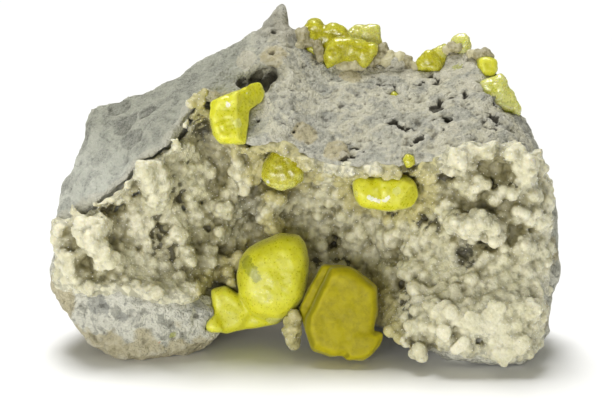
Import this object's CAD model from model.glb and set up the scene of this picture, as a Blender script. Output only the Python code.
# %% [markdown]
# # Sulfur on calcite: finishing a mineral specimen
#
# The specimen is a hand-sized block of grey limestone. A hollow runs along its front, a cream
# calcite crust lines the hollow, and yellow sulfur crystals sit in the hollow and on the ridge.
# The solids of the specimen are already made and packed. This lesson loads them and gives each
# one the skin of the real stone: finer shape first, then the materials, then light and camera.
#
# Every length below is in millimetres unless it says otherwise, because the grains, pits and
# lumps of a hand specimen are easiest to think of that way. MM turns it into Blender's metres.

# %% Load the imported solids
from itertools import product
from math import cos, radians, sin, sqrt

import bmesh
import bpy
import numpy as np
from mathutils import Matrix, Vector, noise
from mathutils.bvhtree import BVHTree
from mathutils.kdtree import KDTree


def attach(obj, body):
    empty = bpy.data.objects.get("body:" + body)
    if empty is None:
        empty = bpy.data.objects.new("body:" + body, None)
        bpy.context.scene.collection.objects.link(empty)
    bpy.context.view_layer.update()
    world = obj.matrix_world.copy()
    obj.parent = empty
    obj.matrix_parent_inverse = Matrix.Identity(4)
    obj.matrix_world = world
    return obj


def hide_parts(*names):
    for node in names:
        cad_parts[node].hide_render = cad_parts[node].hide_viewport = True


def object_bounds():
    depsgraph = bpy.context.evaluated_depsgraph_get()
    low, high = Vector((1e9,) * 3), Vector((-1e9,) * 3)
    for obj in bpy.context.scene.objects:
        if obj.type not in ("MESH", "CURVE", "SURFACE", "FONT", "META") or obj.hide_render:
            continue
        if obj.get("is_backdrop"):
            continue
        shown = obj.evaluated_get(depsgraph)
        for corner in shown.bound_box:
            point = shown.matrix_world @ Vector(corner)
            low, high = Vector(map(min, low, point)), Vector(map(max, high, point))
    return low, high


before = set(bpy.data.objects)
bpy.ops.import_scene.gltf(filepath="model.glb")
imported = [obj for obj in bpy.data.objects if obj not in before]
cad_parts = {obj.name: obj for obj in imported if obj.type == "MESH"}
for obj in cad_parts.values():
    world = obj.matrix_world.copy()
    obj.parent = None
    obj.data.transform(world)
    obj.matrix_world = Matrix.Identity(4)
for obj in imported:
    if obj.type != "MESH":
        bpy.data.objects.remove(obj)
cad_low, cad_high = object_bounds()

MM = 0.001
print("solids:", len(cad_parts), "box (mm):", [round(v / MM, 1) for v in cad_high - cad_low])

# %% [markdown]
# ## Tools for shaping a skin
#
# All the natural surfaces here are made the same way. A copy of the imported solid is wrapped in
# an even net of small quads, a voxel remesh, and then the net's points are pushed in and out
# along their own normals by sums of noise. Plain functions on arrays of points keep that short:
# one function per kind of relief, each giving a height in millimetres for every point.


# %% Points, normals and edges of a mesh as arrays
def points_of(mesh):
    flat = np.empty(len(mesh.vertices) * 3, np.float32)
    mesh.vertices.foreach_get("co", flat)
    return flat.reshape(-1, 3).astype(float) / MM


def set_points(mesh, points):
    mesh.vertices.foreach_set("co", (points * MM).astype(np.float32).ravel())
    mesh.update()


def normals_of(mesh):
    flat = np.empty(len(mesh.vertices) * 3, np.float32)
    mesh.vertex_normals.foreach_get("vector", flat)
    return flat.reshape(-1, 3).astype(float)


def edges_of(mesh):
    flat = np.empty(len(mesh.edges) * 2, np.int32)
    mesh.edges.foreach_get("vertices", flat)
    return flat.reshape(-1, 2)


def relaxed(values, edges, passes, share=0.5):
    """Each value moved towards the mean of its neighbours, a number of times."""
    count = len(values)
    start, end = edges[:, 0], edges[:, 1]
    degree = np.bincount(start, minlength=count) + np.bincount(end, minlength=count)
    columns = values.reshape(count, -1).copy()
    for _ in range(passes):
        for i in range(columns.shape[1]):
            column = columns[:, i]
            total = np.bincount(start, column[end], count) + np.bincount(end, column[start], count)
            columns[:, i] = column + share * (total / np.maximum(degree, 1) - column)
    return columns.reshape(values.shape)


def rounded_off(points, edges, passes):
    """Facets and sharp edges softened without shrinking the body: one pass in, one pass out."""
    for _ in range(passes):
        points = relaxed(points, edges, 1, 0.5)
        points = relaxed(points, edges, 1, -0.52)
    return points


# %% Kinds of relief
def stir(points, spread, seed=0):
    """Smooth noise from about -1 to 1, whose bumps lie about spread apart."""
    shift = Vector((seed * 17.3, seed * 7.1, seed * 3.7))
    return np.array([noise.noise(Vector(p) + shift) for p in points / spread])


def torn(points, spread, seed=0):
    """Uneven relief at three sizes at once, as broken or eaten stone has, mostly from -1 to 1."""
    return (stir(points, spread, seed) + 0.5 * stir(points, spread / 2, seed + 1)
            + 0.25 * stir(points, spread / 4, seed + 2))


def cells(points, spread, seed=0):
    """Distance to the nearest of scattered spots, as a share of spread, and that spot's draw."""
    shift = Vector((seed * 11.9, seed * 5.3, seed * 2.1))
    found = [noise.voronoi(Vector(p) + shift) for p in points / spread]
    spots = np.array([f[1][0] for f in found])
    draw = np.abs(np.sin(spots @ np.array((12.9, 78.2, 37.7))) * 437.5) % 1.0
    return np.array([f[0][0] for f in found]), draw


def lumps(points, spread, seed=0):
    """Round-topped lumps with sharp creases between them, from 0 to about 1."""
    away, draw = cells(points, spread, seed)
    return np.sqrt(np.clip(1 - (away / 0.85) ** 2, 0, 1)) * (0.6 + 0.4 * draw)


def step(values, low, high):
    """A soft step from 0 at low to 1 at high."""
    t = np.clip((values - low) / (high - low), 0, 1)
    return t * t * (3 - 2 * t)


def near(points, spots):
    """1 at each spot (x, y, z, radius), fading to 0 at its radius."""
    mask = np.zeros(len(points))
    for x, y, z, radius in spots:
        away = np.linalg.norm(points - np.array((x, y, z)), axis=1) / radius
        mask = np.maximum(mask, 1 - step(away, 0.35, 1.0))
    return mask


# %% Making pieces
def placed(name, data):
    """A new object, linked to the scene."""
    made = bpy.data.objects.new(name, data)
    bpy.context.scene.collection.objects.link(made)
    return made


def add_piece(name, mesh):
    piece = placed(name, mesh)
    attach(piece, "root")
    return piece


def apply_modifiers(piece):
    bpy.context.view_layer.update()
    graph = bpy.context.evaluated_depsgraph_get()
    mesh = bpy.data.meshes.new_from_object(piece.evaluated_get(graph))
    piece.modifiers.clear()
    piece.data = mesh


def wrap(piece, voxel):
    """One even net of quads around everything in the piece."""
    remesh = piece.modifiers.new("wrap", "REMESH")
    remesh.mode = "VOXEL"
    remesh.voxel_size = voxel * MM
    remesh.use_smooth_shade = True
    apply_modifiers(piece)


def solid_copy(node):
    """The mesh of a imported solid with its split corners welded."""
    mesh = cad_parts[node].data.copy()
    bm = bmesh.new()
    bm.from_mesh(mesh)
    bmesh.ops.remove_doubles(bm, verts=bm.verts, dist=0.002 * MM)
    bm.to_mesh(mesh)
    bm.free()
    return mesh


def tree_over(mesh):
    """A mesh's faces in a tree that finds nearest points and follows rays quickly."""
    return BVHTree.FromPolygons([v.co.copy() for v in mesh.vertices],
                                [tuple(p.vertices) for p in mesh.polygons])


def skin_tree(node):
    return tree_over(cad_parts[node].data)


def distance_to(tree, points):
    return np.array([tree.find_nearest(Vector(p) * MM)[3] / MM for p in points])


def remember(piece, masks):
    """Keep one number per point under each name, which the material reads as a mask."""
    for name, values in masks.items():
        layer = piece.data.attributes.new(name, "FLOAT", "POINT")
        layer.data.foreach_set("value", np.clip(values, 0, 1).astype(np.float32))


def hollows(points, normals, edges, passes, depth):
    """0 on tips and edges, 0.5 on the flat, 1 in pits: how far the neighbourhood stands out."""
    around = relaxed(points, edges, passes)
    return 0.5 + np.sum((around - points) * normals, axis=1) / (2 * depth)


# %% [markdown]
# ## The limestone block
#
# The real block broke off in one blow on the left, which left a fine-grained face with low
# conchoidal waves. The top and right were open to water, so they are etched into crumbly grains
# with many small holes. The remesh gives both the same net, and a mask that follows the place on
# the block decides how much of each relief a point gets. A texture alone would look painted on,
# because the holes throw shadows.

# %% Net over the block
ROCK_NET = 0.72
rock = add_piece("limestone_block", solid_copy("limestone_matrix"))
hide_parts("limestone_matrix")
wrap(rock, ROCK_NET)
edges = edges_of(rock.data)
points = rounded_off(points_of(rock.data), edges, 5)
print("block net:", len(points), "points")

# %% Where the stone is etched, and where it is freshly broken
# Each pair says where a change starts and where it is complete, in millimetres along one axis.
ETCHED_X, ETCHED_Z = (-19, -9), (48, 54)
FRESH_X, FRESH_Y, FRESH_Z = (-18, -10), (8, 14), (18, 26)
LOWER_Z, UPPER_Z, BEHIND_Y = (20, 28), (46, 60), (4, 16)
x, y, z = points.T
ragged = 3 * stir(points, 7, 1)
etched = step(x + ragged, *ETCHED_X) * step(z + ragged, *ETCHED_Z)
fresh = (1 - step(x + ragged, *FRESH_X)) * step(z + 0.25 * x + ragged, *FRESH_Z)
fresh = fresh * (1 - step(y, *FRESH_Y))
lower = 1 - step(z + ragged, *LOWER_Z)
behind = step(y + 5 * torn(points, 12, 71), *BEHIND_Y)
etched, lower = etched * (1 - 0.7 * behind), lower * (1 - 0.9 * behind)
upper = fresh * step(z + ragged, *UPPER_Z)
SCAR = ((-48, 4, 61, 5), (-46, -3, 58, 6), (-44, -10, 56, 5), (-40, -4, 61, 4))
scar = fresh * step(near(points, SCAR) + 0.35 * torn(points, 4, 12), 0.2, 1.0)
PITTED = (
    (37, -9, 63, 10), (31, -13, 58, 7), (24, -10, 59, 6), (22, 2, 66, 6), (-3, -13, 58, 6),
    (48, -10, 60, 9), (33, 2, 68, 5), (-13, -12, 63, 4), (12, -18, 54, 5),
)
pitted = near(points, PITTED)
print("etched, fresh (share of the points):", [round(float(m.mean()), 2) for m in (etched, fresh)])

# %% Push the stone in and out
SCAR_DEPTH, PIT_DEPTH = 0.6, 1.3
PIT_LIMITS = (0.84, 0.98)
set_points(rock.data, points)
normals = normals_of(rock.data)
crumb = torn(points, 2.8, 34)
height = 0.30 * stir(points, 5.5, 2) + 0.12 * stir(points, 1.5, 3)
height += fresh * (0.42 * torn(points, 7.5, 4) + 0.30 * torn(points, 2.6, 14)) - SCAR_DEPTH * scar
height += (1 - fresh - etched) * 0.45 * crumb
rough = etched * (0.4 + 0.6 * pitted)
height += rough * (0.7 * step(torn(points, 5.0, 30), -0.2, 0.3) - 0.4 + 0.6 * crumb)
height += etched * 0.55 * (lumps(points, 2.1, 33) - 0.5)
pits = etched * step(-torn(points, 2.3, 38) + 0.66 * pitted, *PIT_LIMITS)
height -= PIT_DEPTH * pits
height += lower * 0.45 * torn(points, 4.2, 9)
points = points + normals * height[:, None]
set_points(rock.data, points)
print("relief (mm):", round(float(height.min()), 2), "to", round(float(height.max()), 2))
print("pitted share of the etched stone:", round(float(pits.sum() / etched.sum()), 3))

# %% Holes that have a place of their own: x, y, z, radius, depth
ROCK_HOLES = (
    (-15.5, -3, 70, 3.0, 3.0), (-12, -2, 70.4, 3.8, 4.2), (-9, -1, 71, 2.8, 3.2),
    (-8.0, 7.5, 80.5, 1.0, 1.2), (-8.4, 1.5, 75.9, 1.2, 1.2), (36.9, -10.6, 60.5, 1.8, 1.6),
    (-42.2, -20.1, 5.7, 1.1, 1.6), (-27.8, -19.6, 11.5, 1.6, 1.2), (-56, -13, 12, 1.0, 0.9),
)
normals = normals_of(rock.data)
for *middle, radius, depth in ROCK_HOLES:
    away = np.linalg.norm(points - np.array(middle), axis=1) / radius
    points = points - normals * (depth * (1 - step(away, 0.2, 1.0)))[:, None]
print("holes:", len(ROCK_HOLES))


# %% [markdown]
# The crystals grew in the stone and the stone grew round them, so no gap shows between the two.
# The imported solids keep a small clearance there. The block's skin is pulled over it wherever it
# ends beside a crystal. Deep recesses of the hollow are pushed back in the block and later in
# the crust by the same rule, so that one never breaks through the other.

# %% Close the gaps and deepen the recesses
crystal_trees = [skin_tree(n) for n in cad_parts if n.startswith("sulfur")]
# Middle x and z, half width, half height, how far back.
RECESSES = (
    (-38, 31, 2.6, 7, 2.5), (-32.6, 40, 2.6, 4, 2.5), (-33.8, 26.3, 2, 4, 2), (-27, 58, 3.5, 6, 3),
    (-25.7, 30.4, 1.3, 1.6, 4), (-49.4, 39, 5, 2, 2.5), (40.8, 27.3, 3.2, 3.4, 2),
    (46.7, 31, 4, 1.6, 3), (31.4, 33.7, 4, 2.5, 3.5), (7.7, 24.3, 1.6, 3, 4),
    (25.5, 17.3, 1.5, 1.5, 3), (26.1, 14.5, 2, 2, 3), (35.7, 47.8, 3, 1.8, 3),
    (47.5, 46.5, 1.6, 1.3, 3), (52.2, 46.4, 1.6, 1.3, 3), (22.9, 34.1, 2, 1.5, 3),
    (3.2, 19.6, 2, 2, 3), (10, 19.7, 3, 1.5, 3), (-24.6, 64, 0.8, 0.8, 3),
    (-29.5, 59.5, 0.8, 0.8, 3), (-30.5, 49, 0.9, 0.7, 3),
)
PULL = 0.85


def in_recess(points, recess, rim_low, rim_high):
    """1 in the middle of a recess, fading to 0 across its rim."""
    x, z, half_width, half_height = recess[:4]
    away = np.hypot((points[:, 0] - x) / half_width, (points[:, 2] - z) / half_height)
    return 1 - step(away, rim_low, rim_high)


def pushed_back(points, wanted):
    points = points.copy()
    for recess in RECESSES:
        points[:, 1] += wanted * recess[4] * in_recess(points, recess, 0.0, 1.25)
    return points


def drawn_over(points, trees, near_by, far_off):
    """Points close to another body's skin are pulled onto it."""
    points = points.copy()
    for tree in trees:
        for i, point in enumerate(points):
            spot, _, _, away = tree.find_nearest(Vector(point) * MM, far_off * MM)
            if spot is not None:
                share = 1 - step(away / MM, near_by, far_off)
                points[i] += (np.array(spot) / MM - point) * share * PULL
    return points


crust_tree = skin_tree("calcite_crust")
to_crust = distance_to(crust_tree, points)
points = pushed_back(points, 1 - step(to_crust, 3.0, 5.0))
points = drawn_over(points, crystal_trees, 0.9, 1.7)
points[:, 2] = np.maximum(points[:, 2], 0.0)
set_points(rock.data, points)
print("recesses:", len(RECESSES), "crystals drawn to:", len(crystal_trees))

# %% Masks for the stone's colours
DARK_HOLES = (
    (-15.5, -1.5, 67.5, 4.0), (-12, -0.5, 67.2, 5.0), (-9, 0.5, 68.5, 4.0),
    (-42.2, -20.1, 5.7, 1.3),
)
normals = normals_of(rock.data)
remember(rock, {
    "fine_hollow": hollows(points, normals, edges, 4, 0.30),
    "wide_hollow": hollows(points, normals, edges, 30, 1.3),
    "etched": etched,
    "lower": lower,
    "upper": upper,
    "near_crust": 1 - step(to_crust + 0.8 * stir(points, 3, 11), 0.6, 4.0),
    "scar": scar,
    "pits": np.maximum(pits, near(points, DARK_HOLES)),
})

# %% Stains and crumbs that have a place of their own: x, y, z, radius
ROCK_MARKS = {
    "tan": (
        (-62, -10, 14, 9), (-60, -12, 20, 5), (58, -20, 12, 8), (60, -10, 26, 8),
        (-21, -12, 68, 7), (-17, -10, 66, 6), (-8, 0, 76, 5), (12, 4, 69, 4), (0, -14, 58, 5),
        (8, -17, 54, 5)),
    "blue_grey": (
        (-52, -18, 15, 5), (-46, -20, 12, 3), (-27, -18, 14, 3), (-24, -16, 11, 4),
        (-30, -20, 17, 3)),
    "brown": (
        (-0.7, 11, 78.7, 3.6), (3.3, 6, 75, 3.4), (20.3, 10, 75, 2.8), (18.3, 7, 72, 2.8),
        (27.3, 9, 71, 2.6), (38.3, 9, 75.5, 3.4), (45.8, 6, 74.6, 4.0)),
    "cream": (
        (10, 8, 71, 6), (16, 7, 70, 6), (23, 8, 72, 6), (28, 6, 70, 5), (34, 4, 70, 6),
        (40, 4, 73, 6), (44, -2, 68, 5), (45, -28, 4, 9), (32, -24, 4, 7), (56, -27, 5, 6),
        (-5, 9, 81, 4), (-15, 2, 74, 4), (38, -14, 58, 5), (-11, -11, 64, 4)),
    "horn": ((-7, 11, 82, 10), (-6, 11, 86, 7)),
    "sulfur_trace": (
        (-33.9, -20.8, 7.3, 1.6), (16, 0.5, 65, 1.6), (23, 0, 64, 2.6), (40, 5, 70, 3.5),
        (41, 0, 66, 3), (34, 6, 73, 3)),
    "orange": ((9, 4, 68.5, 1.6), (-37.3, -21.5, 5.1, 0.9)),
}
marks = {name: near(points, spots) for name, spots in ROCK_MARKS.items()}
foot = 1 - step(points[:, 2] + 4 * torn(points, 7, 61), 3, 11)
foot = foot * (points[:, 0] < 0) * (points[:, 2] < 15)
marks["tan"] = np.maximum(marks["tan"], foot)
remember(rock, marks)
print("block:", len(rock.data.polygons) * 2, "triangles")

# %% [markdown]
# ## The calcite crust
#
# Calcite grew on the hollow's wall as bunches of small rounded lumps, and each lump carries
# smaller ones, like cauliflower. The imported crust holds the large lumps. Here small balls are
# strewn over its skin and sunk a little way in, then one remesh melts everything into one body.
# Real balls give the sharp creases between lumps and the overhangs that a displacement can't.


# %% Strew balls over a skin
def spaced_spots(points, allowed, spacing, seed):
    """Indices of points at least spacing apart, taken in a shuffled but repeatable order."""
    order = np.random.default_rng(seed).permutation(np.flatnonzero(allowed))
    around = list(product((-1, 0, 1), repeat=3))
    grid, kept = {}, []
    for i in order:
        a, b, c = (points[i] // spacing).astype(int)
        taken = (j for da, db, dc in around for j in grid.get((a + da, b + db, c + dc), ()))
        if not any(np.sum((points[i] - points[j]) ** 2) < spacing ** 2 for j in taken):
            grid.setdefault((a, b, c), []).append(i)
            kept.append(i)
    return np.array(kept)


def ball_mesh(places, radii, detail=1):
    bm = bmesh.new()
    bmesh.ops.create_icosphere(bm, subdivisions=detail, radius=1)
    corners = np.array([vert.co for vert in bm.verts])
    faces = np.array([[vert.index for vert in face.verts] for face in bm.faces])
    bm.free()
    verts = (places[:, None, :] + corners[None] * radii[:, None, None]).reshape(-1, 3) * MM
    loops = (faces[None] + len(corners) * np.arange(len(places))[:, None, None]).reshape(-1, 3)
    return verts, loops


# %% The larger lumps: x, y, z on the crust, radius, how far the tip stands out
KNOLLS = (
    (-31, -6, 53, 1.8, 3), (-40, -19, 50, 2.1, 4), (-38, -16, 49, 2.3, 4), (-36, -14, 46, 1.8, 4),
    (-39, -16, 46, 2.1, 5), (-37, -14, 43, 1.8, 5), (-39, -14, 41, 1.3, 5), (-56, -16, 34, 2.3, 5),
    (-52, -16, 35, 2.1, 5), (-54, -16, 31, 2.6, 6), (-56, -14, 28, 1.8, 5), (-51, -17, 27, 2.3, 6),
    (-49, -18, 26, 1.5, 5), (-52, -16, 24, 1.3, 5), (-61, -14, 26, 1.5, 3), (-59, -17, 25, 1.8, 4),
    (-62, -13, 33, 1.5, 2), (-33, -8, 29, 2.1, 4), (-33, -8, 32, 1.5, 3), (-31, -9, 24, 2.3, 5),
    (-28, -15, 18, 1.5, 4), (-2.3, -18.5, 10.8, 1.7, 2.5), (-3.6, -18.5, 7.2, 1.8, 2.5),
    (-2.9, -18.5, 4.8, 1.3, 2.2), (-38, -23, 19, 1.5, 3), (-33, -15, 20, 1.5, 2),
    (-21, -2, 21, 1.3, 5),
    (-20, -4, 19, 1.3, 5), (-19, -7, 17, 1.3, 5), (-21, -3, 36, 2.3, 3), (-20, 0, 39, 1.8, 3),
    (-17, -4, 49, 1.5, 3), (-17, -2, 45, 1.8, 4), (-16, -1, 41, 1.8, 4), (-14, -2, 44, 1.5, 3),
    (-8, -2, 38, 2.1, 4), (-6, 3, 35, 1.5, 4), (-10, -2, 34, 1.8, 5), (-8, -2, 30, 1.5, 5),
    (-22, -4, 30, 1.5, 2), (-20, 1, 26, 1.5, 2), (-25, -5, 25, 1.5, 2), (-28, -3, 47, 1.3, 1.5),
    (-25, -1, 45, 1.5, 1.5), (-23, 1, 47, 1.3, 1.5), (-27, -3, 42, 1.3, 1.5), (-3, -19, 9, 1.8, 3),
    (38, -23, 54, 2.1, 4), (40, -19, 52, 1.8, 4), (36, -22, 55, 1.3, 3), (45, -21, 55, 1.5, 3),
    (52, -20, 55, 2.3, 3), (55, -19, 51, 2.6, 4), (59, -12, 52, 1.5, 2), (39, -14, 46, 2.1, 4),
    (44, -17, 46, 2.1, 5), (42, -18, 44, 1.5, 4), (48, -18, 43, 1.8, 4), (52, -20, 45, 1.8, 4),
    (55, -18, 47, 2.1, 4), (54, -19, 39, 1.8, 4), (57, -17, 43, 2.1, 3), (37, -14, 41, 1.3, 3),
    (34, -12, 39, 1.3, 3), (33, -12, 44, 1.5, 3), (31, -16, 47, 1.3, 2), (38, -17, 36, 2.1, 5),
    (41, -21, 36, 2.1, 6), (43, -19, 33, 1.5, 5), (44, -22, 38, 2.1, 5), (47, -22, 36, 1.8, 5),
    (48, -23, 33, 1.5, 4), (22, -4, 27, 1.5, 2), (24, -3, 29, 1.5, 2), (27, -8, 26, 1.5, 2),
    (30, -9, 24, 1.5, 3), (22, -4, 19, 2.1, 4), (27, -10, 21, 2.1, 4), (23, -7, 17, 1.5, 3),
    (31, -14, 21, 1.5, 3), (4, 5, 24, 1.8, 2), (50, -20, 30, 1.5, 3), (55, -21, 32, 1.5, 3),
    (60, -16, 35, 1.8, 3), (42, -23, 22, 1.5, 2), (38, -22, 19, 1.5, 3), (29, -17, 18, 1.8, 4),
    (32, -25, 16, 1.5, 3), (36, -29, 16, 1.5, 3), (57, -28, 16, 2.1, 3), (48, -32, 17, 1.8, 2),
    (42, -32, 14, 2.1, 2), (54, -32, 8, 1.8, 3), (50, -33, 5, 1.8, 3), (39, -32, 8, 1.8, 2),
    (35, -31, 11, 1.5, 2), (29, -28, 5, 1.8, 3), (26, -15, 15, 1.5, 3), (24, -14, 11, 1.5, 3),
    (22, -22, 9, 1.5, 3), (25, -24, 7, 1.5, 3), (61, -17, 26, 1.5, 2), (62, -15, 17, 1.5, 2),
    (7, 2, 37, 1.8, 1.5), (10, 2, 32, 1.5, 1.5), (4, 4, 32, 1.8, 1.5), (14, 1, 28, 1.5, 1.5),
    (9, -1, 40, 1.5, 1.5),
)
VIEW_RISE = radians(15)
OUTWARD = np.array((0, -cos(VIEW_RISE), sin(VIEW_RISE)))
BUDS_PER_LUMP = 7
SUNK = 0.6


def knoll_balls(draws):
    """Each large lump is a short row of balls with smaller ones budding round its tip."""
    places, radii = [], []
    for x, y, z, radius, stand in KNOLLS:
        foot = np.array((x, y, z), float)
        reach = 0.75 * stand
        for share in np.linspace(0, 1, 4):
            places.append(foot + OUTWARD * (reach * share - SUNK) + draws.uniform(-0.3, 0.3, 3))
            radii.append(radius * (1.25 - 0.2 * share))
        for _ in range(BUDS_PER_LUMP):
            bud = draws.normal(size=3)
            bud = bud / np.linalg.norm(bud) + OUTWARD * 0.4
            places.append(foot + OUTWARD * (reach - SUNK) + bud * radius * 0.6)
            radii.append(radius * draws.uniform(0.45, 0.75))
    return np.array(places), np.array(radii)


# %% Grow the lumps
LARGE_NET, CRUST_NET = 0.8, 0.46
LARGE_BALL = 1.15
draws = np.random.default_rng(5)


def grown(name, base, places, radii, net):
    """The base mesh and the balls in one object, melted together."""
    verts = [points_of(base) * MM]
    loops = [tuple(polygon.vertices) for polygon in base.polygons]
    for chosen, detail in ((radii > LARGE_BALL, 2), (radii <= LARGE_BALL, 1)):
        if chosen.any():
            corners, faces = ball_mesh(places[chosen], radii[chosen], detail)
            loops += (faces + sum(len(part) for part in verts)).tolist()
            verts.append(corners)
    joined = bpy.data.meshes.new(name)
    joined.from_pydata(np.concatenate(verts).tolist(), [], loops)
    piece = placed(name, joined)
    wrap(piece, net)
    mesh = piece.data
    bpy.data.objects.remove(piece)
    return mesh


# Corners of the box round the hollow, and how far from the crust its wall still counts as lined.
HOLLOW_LOW, HOLLOW_HIGH = (-56, -13, 13), (56, 12, 50)
LINED = 8
rock_tree = skin_tree("limestone_matrix")
rock_points, rock_normals = points_of(rock.data), normals_of(rock.data)
rock_to_crust = distance_to(crust_tree, rock_points)
in_hollow = np.all((rock_points > HOLLOW_LOW) & (rock_points < HOLLOW_HIGH), axis=1)
in_hollow &= rock_normals[:, 1] < 0.2
wall, unbroken = in_hollow & (rock_to_crust < LINED), fresh < 0.3
remember(rock, {"lining": relaxed((wall & unbroken).astype(float), edges, 6)})
bare = KDTree(len(rock_points))
for i in np.flatnonzero((rock_to_crust > 2.2) & ~in_hollow):
    bare.insert(rock_points[i], int(i))
bare.balance()


def to_bare_rock(points):
    """How far each point is from stone that the crust leaves bare."""
    return np.array([bare.find(point)[2] for point in points])


def to_crystals(points):
    return np.min([distance_to(tree, points) for tree in crystal_trees], axis=0)


base = solid_copy("calcite_crust")
beside = ((rock_to_crust < 1.9) | wall) & (to_crystals(rock_points) > 1.5) & unbroken
x, y, z = rock_points.T
beside &= (x > -24) | (z < 35.5 + 0.78 * (x + 63))
chosen = spaced_spots(rock_points, beside, 1.4, 3)
filler = draws.uniform(0.7, 1.3, len(chosen))
places, radii = knoll_balls(draws)
places = np.concatenate([places, rock_points[chosen] - rock_normals[chosen] * 0.3])
radii = np.concatenate([radii, filler])
large = grown("large_lumps", base, places, radii, LARGE_NET)
skin = relaxed(points_of(large), edges_of(large), 3, 0.5)
FRONT = cad_low[1] / MM - 0.4
PRESS_FROM, PRESS_SOFT = 1.5, 2.0


def held_in(points):
    """Lumps that would stand out in front of the specimen's box are pressed back."""
    points = points.copy()
    beyond = np.maximum(FRONT + PRESS_FROM - points[:, 1], 0)
    points[:, 1] += beyond - PRESS_SOFT * (1 - np.exp(-beyond / PRESS_SOFT))
    return points


set_points(large, held_in(pushed_back(skin, 1.0)))
print("large lumps and filler:", len(radii))

# %% Bud the small lumps on them: spacing, smallest and largest radius, share sunk in
BUD_SIZES = ((2.8, 1.4, 2.2, 0.3), (1.6, 0.7, 1.1, 0.15))
skin, skin_normals = points_of(large), normals_of(large)
open_side = distance_to(rock_tree, skin) > 0.9
places, radii = [], []
for spacing, smallest, largest, sunk in BUD_SIZES:
    chosen = spaced_spots(skin, open_side, spacing, int(spacing * 10))
    radius = draws.uniform(smallest, largest, len(chosen))
    radius *= 0.5 + 0.5 * step(to_bare_rock(skin[chosen]), 1.5, 8.0)
    places.append(skin[chosen] - skin_normals[chosen] * (radius * sunk)[:, None])
    radii.append(radius)
places, radii = np.concatenate(places), np.concatenate(radii)
clear = to_crystals(places) > radii * 0.8
mesh = grown("calcite_lumps", large, places[clear], radii[clear], CRUST_NET)
crust = add_piece("calcite_lumps", mesh)
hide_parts("calcite_crust")
print("small lumps:", int(clear.sum()), "crust net:", len(crust.data.vertices), "points")


# %% Thin the net where the crust lies against the block
BURIED_REACH = 2.5 * MM


def buried(points, normals):
    """Which points face the block close by, or lie in it."""
    hidden = np.zeros(len(points), bool)
    for i, (point, normal) in enumerate(zip(points, normals)):
        start = Vector(point) * MM
        spot, out, _, away = rock_tree.find_nearest(start)
        hidden[i] = (start - spot).dot(out) < 0.1 * MM
        if not hidden[i] and away < BURIED_REACH:
            hidden[i] = rock_tree.ray_cast(start, Vector(normal), BURIED_REACH)[0] is not None
    return hidden


CRUST_TRIANGLES = 190000
points, normals = points_of(crust.data), normals_of(crust.data)
hidden = buried(points, normals)
group = crust.vertex_groups.new(name="buried")
group.add(np.flatnonzero(hidden).tolist(), 1.0, "REPLACE")
crust.data.calc_loop_triangles()
thinner = crust.modifiers.new("thinner", "DECIMATE")
thinner.ratio = min(1.0, CRUST_TRIANGLES / len(crust.data.loop_triangles))
thinner.vertex_group = "buried"
thinner.vertex_group_factor = 100
apply_modifiers(crust)
crust.vertex_groups.clear()
crust.data.calc_loop_triangles()
print("buried share:", round(float(hidden.mean()), 2), "triangles:", len(crust.data.loop_triangles))

# %% Grain on the lumps
edges = edges_of(crust.data)
points = points_of(crust.data)
normals = normals_of(crust.data)
height = 0.28 * (lumps(points, 1.25, 21) - 0.6) + 0.14 * stir(points, 2.0, 22)
points = points + normals * (height * ~buried(points, normals))[:, None]
points = held_in(points)
points[:, 2] = np.maximum(points[:, 2], 0.2)
set_points(crust.data, points)
for polygon in crust.data.polygons:
    polygon.use_smooth = True
print("crust:", len(points), "points")

# %% How much of the sky each point of the crust sees
GOLDEN_TURN = 2.39996
LIFT, REACH, RAYS = 0.4, 7, 7


def openness(tree, points, normals):
    """The share of short rays from each point that leave without meeting the stone."""
    spread = []
    for i in range(RAYS):
        up = 1 - (i + 0.5) / RAYS
        turn = i * GOLDEN_TURN
        flat = sqrt(1 - up * up)
        spread.append((flat * cos(turn), flat * sin(turn), up))
    clear = np.zeros(len(points))
    for i, (point, normal) in enumerate(zip(points, normals)):
        outward = Vector(normal)
        turned = outward.to_track_quat("Z", "X")
        start = (Vector(point) + outward * LIFT) * MM
        for ray in spread:
            if tree.ray_cast(start, turned @ Vector(ray), REACH * MM)[0] is None:
                clear[i] += 1
    return clear / RAYS


normals = normals_of(crust.data)
opened = openness(tree_over(crust.data), points, normals)
print("open share, on average:", round(float(opened.mean()), 2))

# %% Masks for the crust's colours
GREY_PATCHES = (
    (40.8, -19, 27.3, 5), (-36, -16, 27, 4), (22, -8, 12, 5), (-14, 0, 36, 8), (52, -27, 3, 4),
)
recess = np.max([in_recess(points, recess, 0.5, 1.3) for recess in RECESSES], axis=0)
remember(crust, {
    "fine_hollow": hollows(points, normals, edges, 3, 0.25),
    "wide_hollow": hollows(points, normals, edges, 26, 1.1),
    "shaded": relaxed(1 - opened, edges, 2),
    "near_sulfur": 1 - step(to_crystals(points), 0.5, 10.0),
    "border": 1 - step(to_bare_rock(points) + 1.5 * stir(points, 4, 23), 1.0, 6.5),
    "grey": near(points, GREY_PATCHES),
    "recess": recess * step(hollows(points, normals, edges, 12, 0.8), 0.4, 0.7),
})
print("crust masks:", [a.name for a in crust.data.attributes if a.data_type == "FLOAT"])

# %% [markdown]
# ## Calcite sparkle
#
# The crust's skin is druse: thousands of calcite points, most of them under half a millimetre
# long. Each one that catches the light shows as a white spark. They are real little bodies,
# eight-sided double pyramids stood into the skin at slightly different tilts, because a bump
# map can't send a clean glint to the side.


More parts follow.
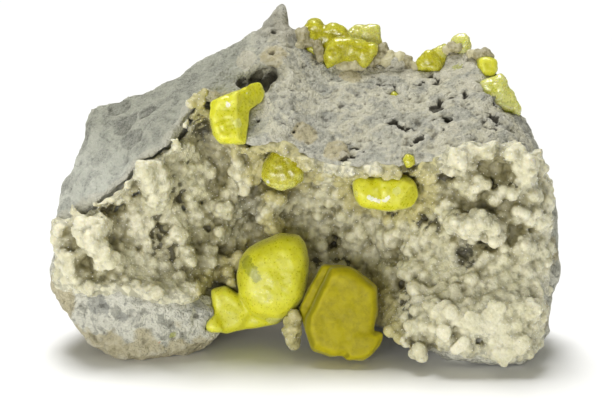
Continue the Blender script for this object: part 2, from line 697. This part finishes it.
# %% Little double pyramids
def grit_mesh(name, places, normals, sizes, length, seed):
    """Double pyramids on square waists, half sunk, each turned and tilted its own way."""
    draws = np.random.default_rng(seed)
    corners = np.array([(1, 0, 0), (0, 1, 0), (-1, 0, 0), (0, -1, 0), (0, 0, length),
                        (0, 0, -length)])
    sides = np.array([(0, 1, 4), (1, 2, 4), (2, 3, 4), (3, 0, 4), (1, 0, 5), (2, 1, 5), (3, 2, 5),
                      (0, 3, 5)])
    verts, faces = [], []
    for i, (place, normal, size) in enumerate(zip(places, normals, sizes)):
        tilt = Vector(normal) + Vector(draws.uniform(-0.5, 0.5, 3))
        turned = tilt.to_track_quat("Z", "X") @ Matrix.Rotation(
            draws.uniform(0, 1.57), 3, "Z").to_quaternion()
        for corner in corners:
            verts.append((Vector(place) + turned @ Vector(corner * size)) * MM)
        faces.extend((sides + len(corners) * i).tolist())
    mesh = bpy.data.meshes.new(name)
    mesh.from_pydata(verts, [], faces)
    return mesh


MOST_SPARKS = 4000
draws = np.random.default_rng(31)
lit = (distance_to(rock_tree, points) > 1.2) & (opened > 0.5) & (normals @ OUTWARD > 0.1)
chosen = spaced_spots(points, lit, 1.0, 33)[:MOST_SPARKS]
mesh = grit_mesh("calcite_sparkle", points[chosen], normals[chosen],
                 draws.uniform(0.09, 0.22, len(chosen)), 1.3, 34)
sparkle = add_piece("calcite_sparkle", mesh)
print("sparkle:", len(chosen), "points of druse")

# %% [markdown]
# ## Knobs on the ridge
#
# Brown and cream balls of calcite sit along the ridge between the sulfur. Each is a ball with
# smaller buds, melted to the next by the same remesh as the crust's lumps.

# %% Grow the knobs: x, y, z, radius, how brown
KNOBS = (
    (-0.6, 9.6, 79.0, 2.2, 0.8), (-1.6, 8.4, 76.2, 1.7, 0.6), (1.2, 9.5, 77.0, 1.6, 0.9),
    (3.2, 8.0, 76.9, 1.4, 0.9), (3.6, 7.6, 75.3, 1.6, 0.9), (4.0, 7.4, 73.6, 1.5, 0.8),
    (20.3, 10, 75.6, 1.6, 0.9), (19.8, 9.6, 73.8, 1.6, 0.9), (17.4, 8.6, 71.9, 1.6, 1.0),
    (10.4, 7.2, 71.2, 2.0, 0.4), (12.6, 7.4, 71.6, 1.8, 0.3), (8.6, 7.4, 71.0, 1.7, 0.6),
    (14.8, 7.8, 71.2, 1.7, 0.5), (6.8, 7.8, 71.6, 1.4, 1.0), (19.0, 8.8, 72.6, 1.5, 0.8),
    (22.4, 9, 73.4, 1.8, 0.3), (24.6, 9, 73.2, 1.9, 0.2), (21.0, 8.3, 72.2, 1.6, 0.4),
    (26.8, 8.8, 72.6, 1.5, 0.9), (38.2, 8, 76.2, 1.7, 0.7), (39.8, 7.4, 76.1, 1.3, 0.6),
    (36.6, 8, 75.4, 1.4, 0.3), (46.6, 4.9, 75.2, 1.8, 0.9), (44.8, 4.8, 75.0, 1.6, 0.8),
    (47.9, 4.8, 74.3, 1.3, 0.7), (42.8, 5.6, 75.0, 1.3, 0.3), (28.6, 7.6, 71.2, 1.3, 0.5),
)
BUDS_PER_KNOB = 9
places, radii = [], []
for *middle, radius, _ in KNOBS:
    centre = np.array(middle, float)
    places.append(centre)
    radii.append(radius)
    for _ in range(BUDS_PER_KNOB):
        bud = draws.normal(size=3)
        places.append(centre + bud / np.linalg.norm(bud) * radius * 0.7)
        radii.append(radius * draws.uniform(0.3, 0.5))
verts, faces = ball_mesh(np.array(places), np.array(radii))
mesh = bpy.data.meshes.new("ridge_knobs")
mesh.from_pydata(verts.tolist(), [], faces.tolist())
knobs = add_piece("ridge_knobs", mesh)
wrap(knobs, 0.3)
knob_points = points_of(knobs.data)
centres = np.array([knob[:3] for knob in KNOBS])
nearest = np.argmin(np.linalg.norm(knob_points[:, None] - centres[None], axis=2), axis=1)
remember(knobs, {
    "brown": np.array([knob[4] for knob in KNOBS])[nearest],
    "fine_hollow": hollows(knob_points, normals_of(knobs.data), edges_of(knobs.data), 4, 0.25),
})
print("knobs:", len(KNOBS), "in", len(knobs.data.polygons), "quads")

# %% [markdown]
# ## The sulfur crystals
#
# Native sulfur grows as blocky bipyramids. On the specimen most have been rounded at the edges
# by etching, and the large ones have a frosted skin. Each packed crystal is wrapped in a fine
# net. Melting moves every point towards its neighbours and takes the sharp edges off. Then a few
# flat faces are ground back on where the real crystal still has them, and low waves and lumps
# follow, each crystal with its own strength: the clusters on the ridge are lumpy and glossy, the
# large crystals are nearly smooth.

# %% How each crystal is finished: melting, waves, wave spread, lumps, lump spread
CRYSTALS = {
    "upper_left": (8, 0.30, 2.2, 0.30, 2.6),
    "round": (20, 0.22, 3.0, 0.15, 2.4),
    "lobed": (16, 0.25, 3.2, 0.05, 2.0),
    "large_pair": (22, 0.18, 5.0, 0.03, 2.0),
    "large_lower": (14, 0.24, 5.0, 0.04, 2.4),
    "top_cluster": (18, 0.40, 3.4, 0.80, 3.2),
    "right_ridge": (14, 0.25, 2.6, 0.55, 2.6),
    "summit": (10, 0.20, 2.2, 0.25, 2.2),
    "right_upper": (10, 0.20, 2.2, 0.30, 2.2),
    "right_cluster": (12, 0.30, 2.6, 0.60, 2.3),
    "brow_speck": (6, 0.20, 1.5, 0.30, 1.2),
    "lip_speck": (6, 0.15, 1.5, 0.20, 1.2),
}
# Flat faces: a point on each, and its outward direction.
FACES = {
    "upper_left": (((-16.0, -19.0, 60.0), (0.75, -0.62, 0.2)),
                   ((-23.0, -18.5, 64.0), (-0.7, -0.6, 0.4))),
    "large_pair": (((-1.6, -19.6, 20.0), (0.80, -0.60, 0.05)),
                   ((-3.4, -18.6, 12.4), (0.5, -0.55, -0.65)),
                   ((-13.5, -19.3, 26.5), (-0.5, -0.62, 0.6))),
    "lobed": (((14.0, -18.6, 41.0), (-0.45, -0.8, -0.4)),
              ((24.5, -19.4, 42.5), (0.6, -0.75, -0.2))),
}
CRYSTAL_NET = 0.34

# %% Marks that belong to one crystal: x, y, z, radius
CRYSTAL_MARKS = {
    "frost": (
        (-16.7, -19.1, 62.2, 1.8), (-9.3, -16.1, 46.5, 1.3), (-7.5, -16.4, 45.4, 1.7),
        (-5.5, -16.5, 44.9, 1.9), (-3.4, -16.4, 45.8, 1.7), (-1.6, -16.1, 47.6, 1.5),
        (17.1, 13.1, 78.6, 5.5), (13.5, 13, 80.5, 4.5), (20, 12, 76, 3), (52.1, -2.9, 64.5, 4.0),
        (50.5, -4, 63, 3.5), (36, 8, 75.5, 3.0), (23, -18.5, 44.5, 2.0), (12.5, -17.5, 43.5, 1.5),
        (-24.5, -17, 9.5, 3.0), (9, -22, 4, 3.0), (-8, -18.5, 10, 3.0)),
    "glint": (
        (-19.2, -17.9, 66.8, 1.2), (-14.2, -15.2, 69.0, 1.0), (-9.3, -16.3, 46.4, 0.8),
        (16.2, -18.6, 42.8, 0.9), (17.0, -18.6, 42.4, 0.9), (17.9, -19.0, 42.2, 0.8),
        (18.8, -19.2, 42.0, 0.9), (19.7, -19.4, 42.2, 0.8), (20.6, -19.5, 42.6, 1.0),
        (21.2, -19.5, 43.1, 0.7), (4.5, 9, 79.6, 0.8), (7.5, 8.5, 75.5, 0.7),
        (12.5, 9, 79.5, 0.7), (50.0, -3.0, 66.5, 0.9)),
    "smudge": ((-15.0, -17.6, 25.5, 2.6), (-13.6, -19.0, 23.8, 2.6), (-12.2, -19.6, 22.0, 1.9)),
}
print("marks:", {name: len(spots) for name, spots in CRYSTAL_MARKS.items()})


# %% Make the crystals
def ground_flat(points, faces):
    """Points beyond a face are brought back onto it."""
    for place, outward in faces:
        outward = np.array(outward) / np.linalg.norm(outward)
        beyond = np.maximum((points - np.array(place)) @ outward, 0)
        points = points - outward * beyond[:, None]
    return points


def crystal_piece(name, melting, waves, spread, lump, lump_spread):
    piece = add_piece("crystal_" + name, solid_copy("sulfur_" + name))
    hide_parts("sulfur_" + name)
    wrap(piece, CRYSTAL_NET)
    edges = edges_of(piece.data)
    sharp = points_of(piece.data)
    points = relaxed(sharp, edges, melting, 0.5)
    points += (sharp.mean(axis=0) - points.mean(axis=0))
    points = ground_flat(points, FACES.get(name, ()))
    set_points(piece.data, points)
    normals = normals_of(piece.data)
    height = 0.10 + waves * torn(points, spread, 41)
    height = height + lump * (lumps(points, lump_spread, 42) - 0.55) + 0.03 * torn(points, 1.3, 44)
    points = points + normals * height[:, None]
    points[:, 2] = np.maximum(points[:, 2], 0.1)
    set_points(piece.data, points)
    normals = normals_of(piece.data)
    remember(piece, {
        "edge": 1 - hollows(points, normals, edges, 24, 0.6),
        "fine_hollow": hollows(points, normals, edges, 3, 0.12),
        "side": step(-normals[:, 0], 0.35, 0.65),
        **{name: near(points, spots) for name, spots in CRYSTAL_MARKS.items()},
    })
    return piece


crystals = {name: crystal_piece(name, *finish) for name, finish in CRYSTALS.items()}
for name, piece in crystals.items():
    print(name, len(piece.data.vertices), "points")

# %% [markdown]
# ## Shader groups that the stones share
#
# Four effects turn up on more than one mineral, so each is one node group with named inputs:
# speckled grain, soft mottling, a ragged mask, which turns a softly painted place into one with
# a torn edge, and thin veins, which are built where the limestone first needs them. They put out
# masks and heights only, and each material decides what colour or gloss they change.


# %% Wiring helpers
def put(tree, kind, feeds=None, **settings):
    """A new node, its settings made, its inputs fed by plain values or other nodes' outputs."""
    made = tree.nodes.new(kind)
    for key, value in settings.items():
        setattr(made, key, value)
    for key, value in (feeds or {}).items():
        if isinstance(value, bpy.types.NodeSocket):
            tree.links.new(value, made.inputs[key])
        else:
            made.inputs[key].default_value = value
    return made


def colour(code):
    """A web colour such as 'c8c3a5' as linear red, green, blue, alpha."""
    shares = [int(code[i:i + 2], 16) / 255 for i in (0, 2, 4)]
    return (*[s / 12.92 if s <= 0.04045 else ((s + 0.055) / 1.055) ** 2.4 for s in shares], 1)


def mixed(tree, mask, first, second, kind="MIX"):
    """first where the mask is 0, second where it is 1. 6 and 7 are the colour sockets."""
    return put(tree, "ShaderNodeMix", {0: mask, 6: first, 7: second},
               data_type="RGBA", blend_type=kind).outputs[2]


def maths(tree, operation, first, second=0.0):
    return put(tree, "ShaderNodeMath", {0: first, 1: second}, operation=operation).outputs[0]


def ramp(tree, value, low, high):
    """0 below low, 1 above high."""
    made = put(tree, "ShaderNodeMapRange", {"Value": value, "From Min": low, "From Max": high},
               interpolation_type="SMOOTHSTEP")
    return made.outputs["Result"]


def painted(tree, name):
    """A mask remembered on the mesh."""
    return put(tree, "ShaderNodeAttribute", attribute_name=name).outputs["Fac"]


def place_in_mm(tree):
    """The point on the piece, in millimetres of the specimen's own frame."""
    where = put(tree, "ShaderNodeTexCoord").outputs["Object"]
    return put(tree, "ShaderNodeVectorMath", {0: where, "Scale": 1 / MM},
               operation="SCALE").outputs[0]


def new_group(name, inputs, outputs):
    group = bpy.data.node_groups.new(name, "ShaderNodeTree")
    for label, kind, value in inputs:
        socket = group.interface.new_socket(label, in_out="INPUT", socket_type=kind)
        if value is not None:
            socket.default_value = value
    for label, kind in outputs:
        group.interface.new_socket(label, in_out="OUTPUT", socket_type=kind)
    return group, put(group, "NodeGroupInput").outputs, put(group, "NodeGroupOutput").inputs


def use(tree, group, feeds):
    """A shared group placed in a material, for its outputs."""
    return put(tree, "ShaderNodeGroup", feeds, node_tree=group).outputs


# %% Grain, mottling and ragged masks
NUMBER, PLACE = "NodeSocketFloat", "NodeSocketVector"

grain_group, given, result = new_group(
    "Grain", [("Place", PLACE, None), ("Size", NUMBER, 1.0), ("Contrast", NUMBER, 0.5)],
    [("Speckle", NUMBER), ("Height", NUMBER)])
fine = maths(grain_group, "DIVIDE", 1.0, given["Size"])
noise_node = put(grain_group, "ShaderNodeTexNoise",
                 {"Vector": given["Place"], "Scale": fine, "Detail": 4.0, "Roughness": 0.65})
grains = put(grain_group, "ShaderNodeTexVoronoi",
             {"Vector": given["Place"], "Scale": fine, "Randomness": 1.0})
half = maths(grain_group, "MULTIPLY", given["Contrast"], 0.5)
low, high = maths(grain_group, "SUBTRACT", 0.5, half), maths(grain_group, "ADD", 0.5, half)
lean = maths(grain_group, "ADD", maths(grain_group, "MULTIPLY", noise_node.outputs[0], 0.75),
             maths(grain_group, "MULTIPLY", grains.outputs["Distance"], 0.3))
grain_group.links.new(ramp(grain_group, lean, low, high), result["Speckle"])
rounded = maths(grain_group, "MULTIPLY", grains.outputs["Distance"], grains.outputs["Distance"])
grain_group.links.new(maths(grain_group, "SUBTRACT", noise_node.outputs[0],
                            maths(grain_group, "MULTIPLY", rounded, 0.5)),
                      result["Height"])

mottle_group, given, result = new_group(
    "Mottling", [("Place", PLACE, None), ("Size", NUMBER, 10.0), ("Share", NUMBER, 0.5),
                 ("Softness", NUMBER, 0.2)],
    [("Mask", NUMBER)])
broad = put(mottle_group, "ShaderNodeTexNoise",
            {"Vector": given["Place"], "Scale": maths(mottle_group, "DIVIDE", 1.0, given["Size"]),
             "Detail": 3.0, "Roughness": 0.55, "Distortion": 0.6})
turn = maths(mottle_group, "SUBTRACT", 1.0, given["Share"])
low = maths(mottle_group, "SUBTRACT", turn, given["Softness"])
high = maths(mottle_group, "ADD", turn, given["Softness"])
spread_out = put(mottle_group, "ShaderNodeMapRange",
                 {"Value": broad.outputs[0], "From Min": 0.25, "From Max": 0.75}).outputs[0]
mottle_group.links.new(ramp(mottle_group, spread_out, low, high), result["Mask"])

ragged_group, given, result = new_group(
    "Ragged mask", [("Mask", NUMBER, 0.0), ("Place", PLACE, None), ("Size", NUMBER, 1.5),
                    ("Raggedness", NUMBER, 0.6)],
    [("Mask", NUMBER)])
rim = put(ragged_group, "ShaderNodeTexNoise",
          {"Vector": given["Place"], "Scale": maths(ragged_group, "DIVIDE", 1.0, given["Size"]),
           "Detail": 4.0, "Roughness": 0.6})
swing = maths(ragged_group, "MULTIPLY", maths(ragged_group, "SUBTRACT", rim.outputs[0], 0.5),
              given["Raggedness"])
swing = maths(ragged_group, "MULTIPLY", swing, 2.0)
painted_at_all = ramp(ragged_group, given["Mask"], 0.02, 0.3)
ragged_group.links.new(
    maths(ragged_group, "MULTIPLY", painted_at_all,
          ramp(ragged_group, maths(ragged_group, "ADD", given["Mask"], swing), 0.3, 0.62)),
    result["Mask"])
print("groups:", [g.name for g in bpy.data.node_groups])


# %% Start and finish a material
def new_material(name, **plain):
    """A Principled material whose plain values are set on the shader's own sockets."""
    made = bpy.data.materials.new(name)
    made.use_nodes = True
    tree = made.node_tree
    shader = tree.nodes["Principled BSDF"]
    for key, value in plain.items():
        shader.inputs[key.replace("_", " ")].default_value = value
    return made, tree, shader


def surface(tree, shader, tone, relief, strength, depth):
    """The colour and a bump, its depth in millimetres, fed to the shader."""
    tree.links.new(tone, shader.inputs["Base Color"])
    bump = put(tree, "ShaderNodeBump",
               {"Height": relief, "Strength": strength, "Distance": depth * MM})
    tree.links.new(bump.outputs[0], shader.inputs["Normal"])


def hazed(tree, shader, speckle, least):
    """A roughness of least, and up to 0.2 more on the speckles."""
    haze = maths(tree, "MULTIPLY", speckle, 0.2)
    tree.links.new(maths(tree, "ADD", haze, least), shader.inputs["Roughness"])


def dress(piece, material):
    piece.data.materials.clear()
    piece.data.materials.append(material)
    print(piece.name, "wears", material.name, "of", len(material.node_tree.nodes), "nodes")


# %% [markdown]
# ## Limestone
#
# Fresh limestone is a mid grey with a greenish cast and a net of whiter calcite veins. Where it
# is etched it turns into a salt-and-pepper crumble of grey and cream. The foot carries a tan
# iron stain, and the knobs on the ridge are brown calcite. The colour is built in that order,
# from the broad tones to the small marks, and the hollows of the relief are darkened last.

# %% Veins: thin pale lines where a noise crosses its middle value
vein_group, given, result = new_group(
    "Veins", [("Place", PLACE, None), ("Size", NUMBER, 5.0), ("Width", NUMBER, 0.05)],
    [("Mask", NUMBER)])
crossing = put(vein_group, "ShaderNodeTexNoise",
               {"Vector": given["Place"], "Scale": maths(vein_group, "DIVIDE", 1.0, given["Size"]),
                "Detail": 5.0, "Roughness": 0.7, "Distortion": 0.15})
off_middle = maths(vein_group, "ABSOLUTE", maths(vein_group, "SUBTRACT", crossing.outputs[0], 0.5))
line = put(vein_group, "ShaderNodeMapRange",
           {"Value": off_middle, "From Min": given["Width"], "From Max": 0.0},
           interpolation_type="SMOOTHSTEP").outputs[0]
vein_group.links.new(line, result["Mask"])
print("group:", vein_group.name)


# %% Helpers that lay colours over one another
def coated(tree, tone, layers):
    """Colours over a tone, one after another: mask, largest share, web colour, kind of mix."""
    for mask, share, code, *kind in layers:
        tone = mixed(tree, maths(tree, "MULTIPLY", mask, share), tone, colour(code), *kind)
    return tone


def torn_mask(tree, where, name, size, raggedness):
    """A remembered place with a ragged rim."""
    return use(tree, ragged_group, {"Mask": painted(tree, name), "Place": where, "Size": size,
                                    "Raggedness": raggedness})["Mask"]


def marked(tree, where, marks):
    """Layers for remembered places: name, rim size, raggedness, largest share, web colour."""
    return [(torn_mask(tree, where, name, size, raggedness), *rest)
            for name, size, raggedness, *rest in marks]


def sunk(tree, name, low, high):
    """A remembered mask, stretched so that low gives 0 and high gives 1."""
    return ramp(tree, painted(tree, name), low, high)


def mottle(tree, where, size, share, softness):
    return use(tree, mottle_group, {"Place": where, "Size": size, "Share": share,
                                    "Softness": softness})["Mask"]


def two_tone(tree, where, size, share, softness, first, second):
    return mixed(tree, mottle(tree, where, size, share, softness), colour(first), colour(second))


def grain(tree, where, size, contrast):
    return use(tree, grain_group, {"Place": where, "Size": size, "Contrast": contrast})


def vein_lines(tree, where, size, width):
    return use(tree, vein_group, {"Place": where, "Size": size, "Width": width})["Mask"]


# %% The limestone material
STONE_MARKS = (
    ("near_crust", 1.8, 0.5, 0.6, "d9d6c4"), ("tan", 2.6, 0.55, 0.65, "c9bb8c"),
    ("blue_grey", 1.6, 0.9, 0.5, "7f817f"), ("horn", 2.0, 0.5, 0.4, "8f8a7a"),
    ("brown", 0.9, 0.25, 0.6, "8f8148"), ("sulfur_trace", 0.8, 0.6, 0.75, "bcc058"),
    ("orange", 0.8, 0.3, 0.6, "cf9460"),
)
limestone, tree, shader = new_material("limestone_skin", Roughness=0.82)
where = place_in_mm(tree)
salt, dust = grain(tree, where, 1.3, 0.25), grain(tree, where, 0.55, 0.3)
fresh_tone = coated(tree, two_tone(tree, where, 5.0, 0.52, 0.18, "868980", "d2d5c6"), (
    (vein_lines(tree, where, 4.5, 0.06), 0.5, "dcdccf"),
    (vein_lines(tree, where, 1.8, 0.05), 0.3, "cfcec1"),
    (salt["Speckle"], 0.4, "d2d3c6"),
    (ramp(tree, dust["Height"], 0.18, 0.0), 0.5, "63655d"),
    (torn_mask(tree, where, "scar", 2.0, 0.4), 0.45, "6d6f68"),
    (painted(tree, "upper"), 0.6, "b4b3a4", "MULTIPLY"),
))
etched_tone = coated(tree, two_tone(tree, where, 4.5, 0.55, 0.12, "8a8879", "c5bfa2"), (
    (mottle(tree, where, 2.4, 0.45, 0.1), 0.65, "e4dfc4"),
    (mottle(tree, where, 8.0, 0.42, 0.08), 0.6, "7d807a"),
    (salt["Speckle"], 0.45, "ebe7d4"),
))
low_tone = two_tone(tree, where, 2.6, 0.6, 0.15, "aaa99b", "eeecdb")
tone = mixed(tree, painted(tree, "etched"), fresh_tone, etched_tone)
tone = coated(tree, tone, marked(tree, where, [("cream", 1.8, 0.6, 0.65, "e2dbc2")]))
tone = mixed(tree, painted(tree, "lower"), tone, low_tone)
specks = maths(tree, "MULTIPLY", ramp(tree, salt["Height"], 0.12, -0.02), painted(tree, "etched"))
tone = coated(tree, tone, (
    (dust["Speckle"], 0.28, "e0dfd2"),
    *marked(tree, where, STONE_MARKS),
    (specks, 0.55, "4a463c"),
    (sunk(tree, "fine_hollow", 0.52, 0.9), 0.65, "67624f", "MULTIPLY"),
    (sunk(tree, "wide_hollow", 0.5, 1.0), 0.4, "8c8874", "MULTIPLY"),
    *marked(tree, where, [("pits", 0.9, 0.35, 0.85, "3a362a")]),
    (sunk(tree, "lining", 0.2, 0.7), 0.9, "9b9570"),
    (sunk(tree, "fine_hollow", 0.45, 0.1), 0.45, "e6e3d4"),
))
relief = maths(tree, "ADD", salt["Height"], maths(tree, "MULTIPLY", dust["Height"], 0.6))
surface(tree, shader, tone, relief, 1.0, 1.3)
dress(rock, limestone)

# %% [markdown]
# ## Calcite
#
# The crust is cream, waxy and a little translucent: light enters the lumps and comes back
# warmer, which the subsurface value does. Deep between the lumps it is olive-brown. Next to the
# sulfur it picks up yellow, and at its border it fades into the crumbled limestone. The sparkle
# has the same body colour with a polished face.

# %% The calcite material
CALCITE_REACH = (1.0, 0.9, 0.6)
calcite, tree, shader = new_material(
    "calcite_skin", Roughness=0.42, Subsurface_Weight=0.75, Subsurface_Scale=1.3 * MM, IOR=1.58,
    Subsurface_Radius=CALCITE_REACH)
where = place_in_mm(tree)
sugar = grain(tree, where, 0.8, 0.4)
tone = coated(tree, two_tone(tree, where, 8.0, 0.5, 0.35, "cfcaa6", "e6e1c5"), (
    (sugar["Speckle"], 0.35, "fbf8e4"),
    (mottle(tree, where, 2.6, 0.45, 0.3), 0.25, "b5b08c"),
))
crumbs = two_tone(tree, where, 2.2, 0.5, 0.15, "a6a38c", "dedac0")
border = maths(tree, "MULTIPLY", torn_mask(tree, where, "border", 1.8, 0.5), 0.75)
tone = coated(tree, mixed(tree, border, tone, crumbs), (
    *marked(tree, where, [("grey", 2.5, 0.35, 0.4, "98968a")]),
    (sunk(tree, "shaded", 0.1, 0.65), 0.75, "8a8250", "MULTIPLY"),
    (sunk(tree, "wide_hollow", 0.5, 1.0), 0.55, "8f8a5e", "MULTIPLY"),
    (sunk(tree, "fine_hollow", 0.48, 0.95), 0.45, "85805a", "MULTIPLY"),
    *marked(tree, where, [("recess", 1.2, 0.4, 0.7, "5a5434", "MULTIPLY"),
                          ("near_sulfur", 2.0, 0.4, 0.55, "c9bf58", "MULTIPLY")]),
))
surface(tree, shader, tone, sugar["Height"], 0.7, 0.4)
dress(crust, calcite)

# %% The sparkle material
druse, tree, shader = new_material(
    "calcite_druse", Roughness=0.12, IOR=1.66, Subsurface_Weight=0.6, Subsurface_Scale=0.6 * MM,
    Subsurface_Radius=CALCITE_REACH)
where = place_in_mm(tree)
tree.links.new(two_tone(tree, where, 4.0, 0.5, 0.3, "f0edd8", "fffdf4"),
               shader.inputs["Base Color"])
hazed(tree, shader, grain(tree, where, 0.4, 0.5)["Speckle"], 0.08)
dress(sparkle, druse)

# %% The knob material
knob_skin, tree, shader = new_material(
    "calcite_brown", Roughness=0.5, Subsurface_Weight=0.2, Subsurface_Scale=0.6 * MM, IOR=1.58,
    Subsurface_Radius=CALCITE_REACH)
haze = grain(tree, place_in_mm(tree), 0.8, 0.4)
tone = coated(tree, mixed(tree, painted(tree, "brown"), colour("d8d0a4"), colour("786d40")), (
    (haze["Speckle"], 0.4, "dcd6ba"),
    (sunk(tree, "fine_hollow", 0.48, 0.9), 0.7, "665d3c", "MULTIPLY"),
))
surface(tree, shader, tone, haze["Height"], 0.7, 0.4)
dress(knobs, knob_skin)

# %% [markdown]
# ## Sulfur
#
# Sulfur is clear enough for light to pass some millimetres in, and it swallows blue on the way.
# Part of the light therefore goes through the crystal, with sulfur's own high refractive index
# and a yellow absorption in its body, and the rest is scattered in the frosted skin. A little
# sheen stands for the fine frost that catches light at the rims. The same recipe makes the
# lemon, the mustard, the olive and the pale crystals, with other values.


# %% The sulfur materials
def sulfur_material(name, body, bright, dark, pale, through, roughness, specular, density):
    made, tree, shader = new_material(
        name, Roughness=roughness, IOR=1.96, Transmission_Weight=through,
        Specular_IOR_Level=specular, Subsurface_Weight=0.65, Subsurface_Scale=2.5 * MM,
        Subsurface_Radius=(1.0, 0.9, 0.1), Sheen_Weight=0.25, Sheen_Roughness=0.4,
        Sheen_Tint=(1.0, 1.0, 0.45, 1.0))
    where = place_in_mm(tree)
    frost, flecks = grain(tree, where, 0.7, 0.35), grain(tree, where, 1.6, 0.25)
    tone = coated(tree, colour(body), (
        (mottle(tree, where, 5.0, 0.5, 0.3), 0.7, bright),
        (mottle(tree, where, 1.8, 0.4, 0.2), 0.35, dark),
        (flecks["Speckle"], 0.25, bright),
        (frost["Speckle"], 0.25, pale),
        (vein_lines(tree, where, 3.5, 0.02), 0.3, pale),
        (sunk(tree, "edge", 0.52, 0.72), 0.65, pale),
        (sunk(tree, "fine_hollow", 0.6, 1.0), 0.08, dark),
        *marked(tree, where, [("smudge", 0.5, 1.3, 0.55, "78800e"),
                              ("frost", 1.4, 0.5, 0.6, "f2f29a"),
                              ("glint", 0.7, 0.9, 0.9, "fbfbe6")]),
    ))
    if name == "sulfur_mustard":
        tone = coated(tree, tone, [(painted(tree, "side"), 0.6, "7d7606")])
    hazed(tree, shader, frost["Speckle"], roughness - 0.08)
    relief = maths(tree, "ADD", frost["Height"], flecks["Height"])
    surface(tree, shader, tone, relief, 0.25, 0.10)
    absorb = put(tree, "ShaderNodeVolumeAbsorption",
                 {"Color": colour("f0e830"), "Density": density})
    tree.links.new(absorb.outputs[0], tree.nodes["Material Output"].inputs["Volume"])
    return made


# Body, bright, dark and pale colours, share let through, roughness, specular level, absorption.
SULFURS = {
    "sulfur_lemon": ("d4d200", "ecea04", "b4ae00", "faf762", 0.2, 0.32, 0.14, 240),
    "sulfur_mustard": ("a69a00", "c4b800", "7e7200", "c8bc10", 0.15, 0.5, 0.03, 320),
    "sulfur_olive": ("bab000", "d8d200", "867c00", "e6e452", 0.3, 0.22, 0.2, 220),
    "sulfur_pale": ("dcdc2c", "f2f470", "b4b41a", "fbfbb0", 0.3, 0.26, 0.35, 140),
}
sulfurs = {name: sulfur_material(name, *values) for name, values in SULFURS.items()}
WHICH = {
    "upper_left": "lemon", "round": "olive", "lobed": "lemon", "large_pair": "lemon",
    "large_lower": "mustard", "top_cluster": "olive", "right_ridge": "olive", "summit": "pale",
    "right_upper": "lemon", "right_cluster": "pale", "brow_speck": "olive", "lip_speck": "olive",
}
for name, finish in WHICH.items():
    dress(crystals[name], sulfurs["sulfur_" + finish])

# %% [markdown]
# ## Floor, light and camera
#
# A specimen is usually shown on white with soft light from all round, so that its own colours
# tell. A sun with a wide disc stands above, a little behind and to the left, which keeps the
# hollow in shade. A low lamp fills from the front, and the white surroundings add a little more.

# %% Floor
HALF_FLOOR = 1.5
floor_mesh = bpy.data.meshes.new("floor")
floor_mesh.from_pydata([(HALF_FLOOR * i, HALF_FLOOR * j, 0)
                        for i, j in ((-1, -1), (1, -1), (1, 1), (-1, 1))], [], [(0, 1, 2, 3)])
floor = placed("floor", floor_mesh)
floor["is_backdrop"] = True
white, tree, shader = new_material("white_floor", Roughness=0.8)
paper = two_tone(tree, place_in_mm(tree), 30.0, 0.5, 0.4, "fafafb", "fdfdfe")
tree.links.new(paper, shader.inputs["Base Color"])
dress(floor, white)

# %% Light
TARGET = Vector((0.3, -8.1, 38.3)) * MM
LAMP_PLACE, LAMP_SIZE, LAMP_WATTS = (-0.25, -0.72, 0.085), (0.6, 0.14), 3.2
SUN_STRENGTH, SUN_DISC, SUN_TILT = 2.9, radians(28), (radians(-15), radians(-5), 0)
ROOM_TINT, ROOM_STRENGTH = (1.0, 1.0, 0.84, 1), 0.20


def aimed(thing, place, direction):
    """Stand a lamp or a camera at a place and point it along a direction."""
    thing.location = place
    thing.rotation_mode = "QUATERNION"
    thing.rotation_quaternion = direction.to_track_quat("-Z", "Y")


lamp = bpy.data.lights.new("front", "AREA")
lamp.shape = "RECTANGLE"
lamp.size, lamp.size_y = LAMP_SIZE
lamp.energy = LAMP_WATTS
aimed(placed("front", lamp), LAMP_PLACE, TARGET - Vector(LAMP_PLACE))

sun = bpy.data.lights.new("overhead", "SUN")
sun.energy = SUN_STRENGTH
sun.angle = SUN_DISC
placed("overhead", sun).rotation_euler = SUN_TILT

world = bpy.data.worlds.new("studio")
world.use_nodes = True
world_tree = world.node_tree
background = world_tree.nodes["Background"]
seen = put(world_tree, "ShaderNodeLightPath").outputs["Is Camera Ray"]
around = mixed(world_tree, seen, ROOM_TINT, (1, 1, 1, 1))
world_tree.links.new(around, background.inputs["Color"])
strength = put(world_tree, "ShaderNodeMapRange",
               {"Value": seen, "To Min": ROOM_STRENGTH, "To Max": 1.0})
world_tree.links.new(strength.outputs[0], background.inputs["Strength"])
bpy.context.scene.world = world
bpy.context.scene.view_settings.view_transform = "Standard"
print("lamp", LAMP_WATTS, "W, sun", SUN_STRENGTH, "and room", ROOM_STRENGTH)

# %% Camera: how far away in metres, picture width in pixels, what one pixel shows, sensor in mm
AWAY, PICTURE_WIDTH, PIXEL, SENSOR = 0.6, 612, 0.2574 * MM, 36
back = Vector((0, -cos(VIEW_RISE), sin(VIEW_RISE)))
eye = bpy.data.cameras.new("camera")
eye.lens = SENSOR * AWAY / (PICTURE_WIDTH * PIXEL)
eye.clip_start = 0.05
camera = placed("camera", eye)
aimed(camera, TARGET + back * AWAY, -back)
bpy.context.scene.camera = camera
print("lens:", round(eye.lens, 1), "mm")

# %% Compare the dressed specimen with its solids
low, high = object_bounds()
print("grown by (mm):", [round(v / MM, 2) for v in (*(low - cad_low), *(high - cad_high))])
